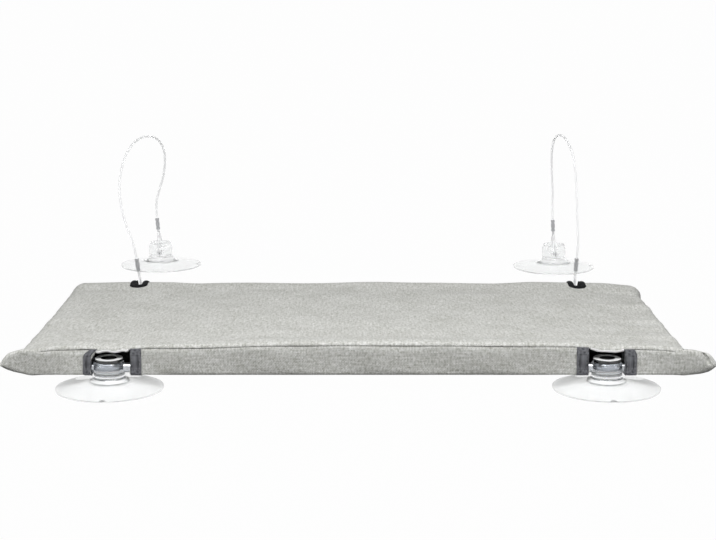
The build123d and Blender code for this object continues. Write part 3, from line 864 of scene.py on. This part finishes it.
ear_bottoms = {
    "left": (-0.0056, -0.0046, -0.0032, -0.0016, 0.0004, 0.0020),
    "right": (-0.0056, -0.0046, -0.0037, -0.0026, -0.0008, 0.0015),
}
ear_slump = 0.0004
slump_length = 0.009
# The ear's last rings: their share of its size, and how far past it they are.
ear_caps = [(0.72, -0.0007), (0.35, -0.0002), (0.0, 0.0)]
band_step = 0.0025
ear_step = 0.0005
ring_points = 96
fold_depth = 0.0030
fold_half = 0.0013
fold_place = 0.2692
fold_curve = 0.0060
fold_share = 0.6
fold_shares = (0.40, 0.62, 0.97, 1.0)


def eased(places, stops, values):
    """A smooth line through a few values: straight runs between them, then averaged over a
    window of about three millimetres."""
    margin, window = 0.005, np.hanning(31)
    wide = np.linspace(stops[0] - margin, stops[-1] + margin, 350)
    plain = np.pad(np.interp(wide, stops, values), len(window) // 2, mode="edge")
    soft = np.convolve(plain, window / window.sum(), mode="valid")
    return np.interp(places, wide, soft)


def band_section(x, side):
    """The band's section at x: the middle and the half of its height, how far it opens into the
    ear's full lobe, and the power of its squared ellipse."""
    out = np.abs(x)
    in_ear = smooth_step(out, *ear_blend)
    top = crown_height(np.minimum(out, near_half)) + edge_lift(x) - band_drop
    top = top + (eased(out, ear_places[side], ear_tops[side]) - top) * in_ear
    bottom = under_z + band_rise
    bottom = bottom + (eased(out, ear_places[side], ear_bottoms[side]) - bottom) * in_ear
    opening = smooth_step(out, *ear_opening)
    along_ear = (out - ear_start) / (ear_end - ear_start)
    rounding = smooth_step(along_ear, *ear_square_shares)
    square = band_square + (ear_square - band_square) * rounding
    return (top + bottom) / 2, (top - bottom) / 2, opening, square


def tucked(lift, opening):
    """How far the band lies back at a height (from -1 at its foot to 1 at its top), where its top
    edge is sewn in under the roll of the top panel. The ears are free of it."""
    return band_tuck * smooth_step(lift, band_tuck_start, 1.0) * (1 - opening)


def ear_fold(x, share):
    """Depth of the crease in the right ear's tip: a narrow groove that starts at the ear's top and
    curves out and down to the middle of its height. share is the height, from 0 to 1."""
    line = fold_place + fold_curve * np.sqrt(np.clip((1 - share) / fold_share, 0, 1))
    return fold_depth * bell(x, line, fold_half) * plateau(share, *fold_shares)


def signed_power(value, power):
    """A power that keeps the sign."""
    return np.sign(value) * np.abs(value) ** power


notch_back = 0.0024
notch_lean = 0.0054
notch_lean_shares = (0.42, 0.97)
notch_foot = 0.0012
notch_foot_shares = (0.0, 0.22)
right_lean = 0.0016
right_lean_shares = (0.5, 1.0)
strip_end_share = 0.3
band_inset = 0.0016
bend_reach = 0.015
root_step = 0.0003


def notch_edge(side, edge, share):
    """Where a near notch's side is, at a share of the band's height from its foot. edge is -1 for
    its left side and 1 for its right side. The outer sides are bowed round the widest part of the
    knob: the left one leans in a little at the foot and more at the top, the right one only at the
    top."""
    straight = notch_middles[side] + edge * knob_gap + 0 * share
    if side == "left" and edge < 0:
        foot = notch_foot * (1 - smooth_step(share, *notch_foot_shares))
        return straight - notch_back + foot + notch_lean * smooth_step(share, *notch_lean_shares)
    if side == "right" and edge > 0:
        return straight - right_lean * smooth_step(share, *right_lean_shares)
    return straight


def strip_end(side, edge):
    """Where a strip of the band stops behind the tape at a notch's side, low on its height."""
    return float(notch_edge(side, edge, strip_end_share)) + edge * band_inset


def band_piece(name, node, side, start, end):
    """A closed strip from start to end along X. Its front is half a squared ellipse, and its back
    is the same curve one cloth further in. In the ear the back opens out behind the front, and
    the last rings shrink to a blunt tip. start and end are sides of notches, as (side, edge), or
    the end is an ear's tip. At a notch the strip stops behind the tape."""
    low = strip_end(*start)
    high = strip_end(*end) if end else ear_end * np.sign(low)
    stops = [low, high] if end else [low, ear_start * np.sign(low), high]
    sign = np.sign(high - low)
    x = (sign * stations([sign * stop for stop in stops], [band_step, ear_step]))[:, None]
    middle, half, opening, square = band_section(x, side)
    turn = np.linspace(pi / 2, pi / 2 - 2 * pi, ring_points + 1)[None]
    front = np.cos(turn) > 0
    lift = signed_power(np.sin(turn), 2 / square)
    reach = np.abs(np.cos(turn)) ** (2 / square)
    share_up = (lift + 1) / 2
    bulge = band_depth + band_wobble * np.sin(x / wobble_length + 2 * np.sin(turn * 2))
    back = opening * ear_depth - (1 - opening) * (band_depth - cloth_thickness)
    y = front_y + band_round + tucked(lift, opening)
    y = y + np.where(front, ear_fold(x, share_up) - bulge * reach, back * reach)
    z = middle + half * lift + ear_slump * np.sin(x / slump_length) * opening
    wide = np.broadcast_to(x, y.shape)
    for place, base in ((start, low), (end, high)):
        if place:
            near = 1 - smooth_step(np.abs(wide - base), 0.0, bend_reach)
            wide = wide + (notch_edge(*place, share_up) + place[1] * band_inset - base) * near
    ring = np.stack([wide, y, z], -1)
    centre = ring[-1].mean(0)
    tips = [centre + (ring[-1:] - centre) * share + [sign * past, 0, 0]
            for share, past in (ear_caps[-1:] if end else ear_caps)]
    root = np.repeat(ring[:1].mean(1, keepdims=True), ring.shape[1], 1)
    root[..., 0] = low + sign * root_step
    points = np.concatenate([root, ring] + tips)
    steps = np.linalg.norm(np.diff(points[:, :, 1:], axis=1), axis=2)
    down = np.concatenate([0 * steps[:, :1], np.cumsum(steps, axis=1)], 1)
    cloth = np.stack([down, points[:, :, 0]], -1)
    band = surface(name, on_deck(points), cloth, closed=True)
    fit(band, "perch", "cover_fabric", node, linen)
    return band


for side, edge in (("left", -1), ("right", 1)):
    band = band_piece("band_" + side, "near_band_" + side, side, (side, edge), None)
band = band_piece("band_middle", "near_band_middle", "right", ("left", 1), ("right", -1))

# Tape on the near notches
# Dark grey ribbed tape, folded over the cut sides of the band: a flange on the front and a
# return into the notch. It is sewn down with one row of stitches near each edge.
tape_widths = {("left", -1): 0.0058, ("left", 1): 0.0086,
               ("right", -1): 0.0094, ("right", 1): 0.0086}
tape_thickness = 0.0008
tape_wall = tape_thickness * 0.8
tape_play = 0.0003
tape_sweep = radians(84)
tape_return = 0.018
tape_return_gap = 0.002
tape_return_foot = 0.0004
tape_return_top = 0.0140
tape_waves = (0.0002, 0.00015)
tape_return_shares = (0.12, 1)
tape_return_powers = (0.5, 1, 0.45)
tape_rib = 0.0009
stitch_margins = (0.003, 0.005)
stitch_pitch = 0.0032
stitch_length = 0.0022
stitch_width = 0.00045


def ribbed_tape():
    """Spun polyester tape: charcoal, matt, with close ribs across it and a faintly fuzzy face."""
    material, spot = new_material("ribbed binding tape", "cloth")
    place = add(material, "SeparateXYZ", {0: spot})
    turn = add(material, "Math", {0: place.outputs[1], 1: 2 * pi / tape_rib}, operation="MULTIPLY")
    rib = add(material, "Math", {0: turn}, operation="SINE")
    fuzz = add(material, "TexNoise", {0: spot, "Scale": 520.0, "Detail": 4.0})
    tone = add(material, "Math", {0: rib, 1: 0.05, 2: fuzz}, operation="MULTIPLY_ADD")
    share = add(material, "MapRange", {0: tone, 1: 0.3, 2: 0.7})
    return finished(material, {"Roughness": 0.82, "Specular IOR Level": 0.3, "Sheen Weight": 0.1},
                    (share, "#37383b", "#808186"), (tone, 0.5, 0.0003))


def tape_surface(side, edge):
    """The tape beside a near notch: from its outer edge along the band's front to the notch, then
    round the corner and back along the notch's side. It stands one tape off the band. Also the
    part on the front by itself."""
    turn = np.linspace(tape_sweep, -tape_sweep, 40)[:, None]
    share = (np.sin(turn) + 1) / 2
    tape_width = tape_widths[side, edge]
    inside = notch_edge(side, edge, share) + edge * tape_thickness
    on_front = np.linspace(0, 1, 14)[None]
    x = inside + edge * tape_width * (1 - on_front)
    middle, half, opening, square = band_section(x, side)
    lift = signed_power(np.sin(turn), 2 / square)
    reach = np.cos(turn) ** (2 / square)
    stand = tape_thickness + tape_play + tape_waves[0] * np.sin(turn * 3 + inside * 50)
    stand = stand + tape_waves[1] * np.cos(on_front * 7 + turn * 2)
    y = front_y + band_round - (band_depth + stand) * reach + tucked(lift, opening)
    front = np.stack([x + 0 * y, y, middle + (half + tape_play) * lift], -1)
    back = np.linspace(*tape_return_shares, 10)[None, :, None]
    knob = cup_x if side == "right" else -cup_x
    level = spread(
        edge * np.maximum(edge * inside, edge * knob + knob_gap), near_notch_end - tape_return_gap,
        under_z + tape_return_foot + (tape_return_top - under_z) * share,
    )
    start = front[:, -1:]
    deep = start + (level - start) * back ** np.array(tape_return_powers)
    points = np.concatenate([front, deep], 1)
    across_tape = np.concatenate([
        tape_width * on_front[0], tape_width + tape_return * back[0, :, 0],
    ])
    down = (pi / 2 - turn[:, 0]) / pi * (top_z - under_z)
    cloth = spread(across_tape[None], down[:, None])
    if edge < 0:
        points, cloth = points[:, ::-1], cloth[:, ::-1]
    return points, cloth, front


def along_path(path, lengths):
    """The points of a path at these lengths along it."""
    far = run_length(path)
    return np.stack([np.interp(lengths, far, column) for column in path.T], -1)


def stitches(name, starts, ends, outward):
    """A row of stitches: each is a small capsule from its start to its end, half sunk in the
    cloth, whose six-sided rings swell from nothing at both ends."""
    starts, ends, outward = (np.asarray(v, float) for v in (starts, ends, outward))
    ahead = unit(ends - starts)
    aside = np.cross(outward, ahead)
    share = np.array([0, 0.12, 0.35, 0.65, 0.88, 1.0])
    girth = np.array([0, 0.7, 1, 1, 0.7, 0]) * stitch_width / 2
    arch = np.array([-0.3, 0.1, 0.35, 0.35, 0.1, -0.3]) * stitch_width
    turn = np.linspace(0, 2 * pi, 7)
    core = starts[:, None] + (ends - starts)[:, None] * share[None, :, None]
    core = core + outward[:, None] * arch[None, :, None]
    ring = np.cos(turn)[None, None, :, None] * outward[:, None, None]
    ring = ring + np.sin(turn)[None, None, :, None] * aside[:, None, None]
    points = core[:, :, None] + ring * girth[None, :, None, None]
    count, rows, columns = points.shape[:3]
    joined = points.reshape(count * rows, columns, 3)
    keep = np.ones((count * rows - 1, columns - 1), bool)
    keep[rows - 1::rows] = False
    cloth = np.zeros((count * rows, columns, 2))
    return surface(name, joined, cloth, keep, closed=True)


def sewing_thread():
    """Twisted polyester thread in the tape's grey, a little glossier than the cloth."""
    material, spot = new_material("sewing thread")
    twist = add(material, "TexNoise", {0: spot, "Scale": 3500.0, "Detail": 1.0})
    return finished(material, {"Roughness": 0.6, "Sheen Weight": 0.2},
                    (twist, "#58595c", "#8a8b8e"))


tape = ribbed_tape()
sewing = sewing_thread()
for name, outer_edge in (("left", -1), ("right", 1)):
    for edge, place in ((outer_edge, "outer"), (-outer_edge, "inner")):
        points, cloth, front = tape_surface(name, edge)
        deck_sheet("tape_" + name + "_" + place, points, cloth, tape_wall, "binding_tape",
                   "near_binding_" + name + "_" + place, tape)
        starts, ends = [], []
        for path in (front[:, 2], front[:, 11]):
            last = run_length(path)[-1] - stitch_margins[1]
            begin = np.arange(stitch_margins[0], last, stitch_pitch)
            starts.append(along_path(path, begin))
            ends.append(along_path(path, begin + stitch_length))
        starts, ends = (on_deck(np.concatenate(row)) for row in (starts, ends))
        outward = np.broadcast_to([0.0, -1.0, 0.0], starts.shape)
        seam = stitches("tape_stitches_" + name + "_" + place, starts, ends, outward)
        fit(seam, "perch", "binding_tape", None, sewing)

# Lining and lip of the near notches
# The back of each notch is faced with black lining cloth, whose black is partly the lining's own
# and partly painted shade for the notch's depth. In front of it the top panel sags over the knob,
# and its cut edge shows the white wadding it is backed with, as a soft scalloped lip.
lip_radius = 0.0011
lip_inset = 0.0008
lip_play = 0.0005
lip_sink = 0.0004
facing_foot = 0.0006
facing_thickness = tape_thickness * 0.7
facing_play = 0.0012
facing_corner = 0.003
facing_top = 0.0145


def evenly(outline, count):
    """A path's points set out again at even steps."""
    return along_path(outline, np.linspace(0, run_length(outline)[-1], count))


def white_wadding():
    """Bonded polyester wadding: bright white, soft and slightly fibrous."""
    material, spot = new_material("white wadding")
    fibre = add(material, "TexNoise", {0: spot, "Scale": 1300.0, "Detail": 4.0})
    return finished(material, {"Roughness": 0.9, "Sheen Weight": 0.2},
                    (fibre, "#d9d9d8", "#fbfbfb"), (fibre, 0.5, 0.0003))


def lining_cloth():
    """Black woven lining with a faint twill line, too deep in the notch to catch the light. At the
    back of the near notches its black is partly painted shade.
    """
    material, spot = new_material("black lining cloth", "cloth")
    twill = add(material, "TexWave", {0: spot, "Scale": 260.0, "Distortion": 1.5},
                bands_direction="DIAGONAL")
    return finished(material, {"Roughness": 0.9, "Specular IOR Level": 0.2},
                    (twill, "#0d0d0e", "#1c1c1e"))


wadding = white_wadding()
lining = lining_cloth()
for name, middle in notch_middles.items():
    low, high = under_notches[name]
    half = (high - low) / 2 + facing_play
    outline = [(-half, 0), (-half, near_notch_end), (half, near_notch_end), (half, 0)]
    way = evenly(softened(outline, facing_corner, 8), 60)
    level = np.linspace(under_z + facing_foot, facing_top, 14)[:, None]
    wall = spread(way[:, 0] + (low + high) / 2, way[:, 1], level)
    # The facing's black is partly the lining's own and partly painted shade for the notch's depth.
    deck_sheet("notch_facing_" + name, wall, spread(run_length(way), level), facing_thickness,
               "binding_tape", None, lining)
    x = np.linspace(middle - knob_gap + lip_play, middle + knob_gap - lip_play, 90)
    height = crown_height(x) + edge_lift(x) - lip_drop(x) - front_round - lip_sink
    path = spread(x, front_y + lip_inset, height)
    lip = round_tube("notch_lip_" + name, on_deck(path), lip_radius, 16, (0, 0, 1))
    fit(lip, "perch", "foam", None, wadding)

# Tape on the cable notches
# Black lining cloth, folded into a plump roll round each slit in the far edge and down its
# inside, so that the cable's eye can't fray the linen.
roll_half_width = 0.0027
roll_height = 0.0020
roll_inset_share = 0.36
roll_stand = 0.0001
roll_lump_share = 0.08
roll_flat_share = 0.6
roll_flat_stretch = (cable_notch_end + 0.009, back_y + 0.003)
roll_cloth = 0.012
facing_inset = 0.001


def slit_path(half, count):
    """The way round a cable notch on the flat cloth: in from the far seam, round the inner end in
    half a circle, and out again."""
    turn = np.linspace(pi, 2 * pi, 24)
    bend = np.stack([half * np.cos(turn), slit_start + half * np.sin(turn)], -1)
    return evenly(np.concatenate([[[-half, far_cut]], bend, [[half, far_cut]]]), count)


def cloth_frame(way):
    """The top's surface under a path on the flat cloth: the points, the direction across the path
    and the direction out of the cloth."""
    small = 0.0004
    here, right, away = (cover_points(way[:, 0] + aside, way[:, 1] + ahead, True)
                         for aside, ahead in ((0, 0), (small, 0), (0, small)))
    out = unit(np.cross(right - here, away - here))
    return here, unit(np.cross(out, unit(np.gradient(here, axis=0)))), out


for name, place, cut in (("left", -cable_x, slit_places[0]), ("right", cable_x, slit_places[1])):
    way = slit_path(cable_gap + roll_half_width * roll_inset_share, 110)
    here, aside, out = cloth_frame(way + [cut, 0])
    turn = np.linspace(0, 2 * pi, 21)[None, :, None]
    lump = 1 + roll_lump_share * np.sin(np.linspace(0, 40, len(way)))
    lump = lump * (1 - roll_flat_share * smooth_step(way[:, 1], *roll_flat_stretch))
    ring = here[:, None] + aside[:, None] * np.cos(turn) * roll_half_width
    ring = ring + out[:, None] * (np.sin(turn) * roll_height * lump[:, None, None] + roll_stand)
    first, last = (np.repeat(end.mean(1, keepdims=True), 21, 1) for end in (ring[:1], ring[-1:]))
    far = run_length(way)
    far = np.concatenate([far[:1], far, far[-1:]])
    roll = surface("slit_tape_" + name, on_deck(np.concatenate([first, ring, last])),
                   spread(np.linspace(0, roll_cloth, 21), far[:, None]), closed=True)
    fit(roll, "perch", "binding_tape", "cable_binding_" + name, lining)
    way = slit_path(cable_gap, 90)
    way[:, 1] = np.minimum(way[:, 1], back_y - facing_inset)
    upper = cover_points(way[:, 0] + cut, np.minimum(way[:, 1], flat_back), True)[:, 2]
    past = np.maximum(way[:, 1] - back_y + edge_round, 0)
    edge = edge_round - np.sqrt(np.maximum(edge_round ** 2 - past ** 2, 0))
    level = under_z + edge + (upper - under_z - 2 * edge) * np.linspace(0, 1, 12)[:, None]
    wall = spread(way[:, 0] + place, way[:, 1], level)
    deck_sheet("slit_facing_" + name, wall, spread(run_length(way), level), facing_thickness,
               "binding_tape", None, lining)

# Foam pad
# One slab of white polyurethane foam, cut to lie over the rails and to fill the space between
# them. Its cut edges are soft, and it shows only through the notches.
foam_cell = 0.0045
foam_press = -0.0018
block_length = 0.06
block_height = 0.08
block_level = 0.01


def cut_foam():
    """Open-cell polyurethane foam: white, with fine pits where the cells are cut."""
    material, spot = new_material("polyurethane foam")
    cells = add(material, "TexVoronoi", {0: spot, "Scale": 900.0})
    return finished(material, {"Roughness": 0.95},
                    (cells, "#c9c8c2", "#efeee9"), (cells, 0.6, 0.0005))


pad = link("foam_slab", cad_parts["foam_pad"].data.copy())
tidy(pad.data, True)
for name, middle in notch_middles.items():
    half = knob_gap + foam_cell
    shape = bmesh.new()
    bmesh.ops.create_cube(shape, size=1)
    block = bpy.data.meshes.new("notch_block_" + name)
    shape.to_mesh(block)
    shape.free()
    block.transform(Matrix.LocRotScale(
        (middle, near_axis[1] + near_notch_end + (foam_cell - block_length) / 2, block_level),
        None, (2 * half, block_length, block_height)))
    cut = pad.modifiers.new("notch " + name, "BOOLEAN")
    cut.object = link("notch_block_" + name, block)
cutters = [cut.object for cut in pad.modifiers]
remesh = pad.modifiers.new("remesh", "REMESH")
remesh.mode = "VOXEL"
remesh.voxel_size = foam_cell
relax = pad.modifiers.new("smooth", "SMOOTH")
relax.factor = 0.5
relax.iterations = 3
press = pad.modifiers.new("pressed in by the cloth", "DISPLACE")
press.strength = foam_press
press.mid_level = 0
apply_changes(pad)
for cutter in cutters:
    bpy.data.objects.remove(cutter)
fit(pad, "perch", "foam", "foam_pad", cut_foam())

# Closure
# A flap of the linen laps the opening in the underside. It is held shut by a strip of loop tape
# on the far panel and a strip of hook tape on the flap.
flap_half = 0.210
flap_start = 0.134
flap_seam = 0.012
flap_step = 0.004
flap_lap = 0.034
strip_half = 0.200
strip_width = 0.020
strip_thickness = 0.001
strip_wander = (0.0003, 0.019)
strip_wave = (0.00015, 0.027)
flap_softness = 0.003
strip_start = closure_y + (flap_lap - strip_width) / 2


def strip_sheet(name, profile, half, columns, thickness, slot, node, material):
    """A sheet along X, whose section is a run of (y, z) points. Its long edges wander a little."""
    x = np.linspace(-half, half, columns)
    profile = np.asarray(profile)
    y, z = (profile[:, place][:, None] + height * np.sin(x / length)
            for place, (height, length) in enumerate((strip_wander, strip_wave)))
    cloth = spread(x[None], run_length(profile)[:, None])
    return deck_sheet(name, spread(x[None], y, z)[::-1], cloth[::-1], thickness, slot, node, material)


def hook_and_loop(name, dark, light, scale):
    """Nylon hook or loop tape: a fuzzy or stubbly grey face on a woven ground."""
    material, spot = new_material(name, "cloth")
    pile = add(material, "TexVoronoi", {0: spot, "Scale": scale})
    return finished(material, {"Roughness": 0.75, "Sheen Weight": 0.3},
                    (pile, dark, light), (pile, 0.8, 0.0005))


step_down = 2 * strip_thickness
lap_start = flap_start + flap_seam + flap_step
low_face = under_z - step_down - cloth_thickness
flap_profile = softened([
    (flap_start, under_z - cloth_thickness), (flap_start + flap_seam, under_z - cloth_thickness),
    (lap_start, low_face), (lap_start + flap_lap, low_face),
], flap_softness, 6)
flap = strip_sheet("closure_flap_cloth", flap_profile, flap_half, 140, cloth_thickness,
                   "cover_fabric", "closure_flap", linen)
layers = (
    ("loop", 1, hook_and_loop("loop tape", "#77787b", "#a6a7aa", 1400.0)),
    ("hook", 2, hook_and_loop("hook tape", "#5c5d60", "#8c8d90", 800.0)),
)
for kind, layer, finish in layers:
    face = under_z - layer * strip_thickness
    profile = [(strip_start, face), (strip_start + strip_width / 2, face),
               (strip_start + strip_width, face)]
    strip_sheet(kind + "_tape", profile, strip_half, 120, strip_thickness,
                "hook_and_loop", "closure_" + kind + "_tape", finish)

# Table and light
# A plain white studio table under one soft light from above and in front. The room is white
# round the sides and dark overhead. Both whites show to the camera and in clear or shiny pieces.
table_half = 20.0
room_level = 0.10
room_dark = 0.12
key_aim = (0, -0.1, 0.03)
key_place = (0, -0.80, 1.15)
key_size = (1.4, 0.7)
key_power = 22.6
seen_share = 0.985


def seen_directly(owner):
    """1 for what the camera sees itself, in a shine or through a clear piece, and 0 for light that
    falls on other things."""
    path = add(owner, "LightPath")
    seen = path.outputs["Is Camera Ray"]
    for ray in ("Is Glossy Ray", "Is Transmission Ray"):
        seen = add(owner, "Math", {0: seen, 1: path.outputs[ray]}, operation="MAXIMUM")
    return seen


def paper_white():
    """Seamless paper: it lights the object as white paper does, and shows as bright white."""
    material = bpy.data.materials.new("white paper")
    material.use_nodes = True
    material.node_tree.nodes.clear()
    share = add(material, "Math", {0: seen_directly(material), 1: seen_share}, operation="MULTIPLY")
    paper = add(material, "BsdfDiffuse", {0: linear("#6c6c6c")})
    bright = add(material, "Emission", {0: (1, 1, 1, 1), 1: 1.0})
    mixed = add(material, "MixShader", {0: share, 1: paper, 2: bright})
    add(material, "OutputMaterial", {"Surface": mixed})
    return material


table = bpy.data.meshes.new("table")
corners = [(-table_half, -table_half, 0), (table_half, -table_half, 0),
           (table_half, table_half, 0), (-table_half, table_half, 0)]
table.from_pydata(corners, [], [(0, 1, 2, 3)])
table.materials.append(paper_white())
table = link("table", table)

world = bpy.data.worlds.new("room")
world.use_nodes = True
world.node_tree.nodes.clear()
way = add(world, "SeparateXYZ", {0: add(world, "TexCoord").outputs["Generated"]})
shown = add(world, "MapRange", {0: way.outputs[2], 1: 0.35, 2: 0.75, 3: 1.0, 4: room_dark})
level = add(world, "Mix", {0: seen_directly(world), 2: room_level, 3: shown})
add(world, "OutputWorld", {0: add(world, "Background", {0: (1, 1, 1, 1), 1: level})})
bpy.context.scene.world = world

key = bpy.data.lights.new("key", "AREA")
key.shape = "RECTANGLE"
key.size, key.size_y = key_size
key.energy = key_power
key = link("key", key)
key.location = key_place
key.rotation_euler = (atan2(key_aim[1] - key_place[1], key_place[2] - key_aim[2]), 0, 0)
bpy.context.scene.view_settings.view_transform = "Standard"
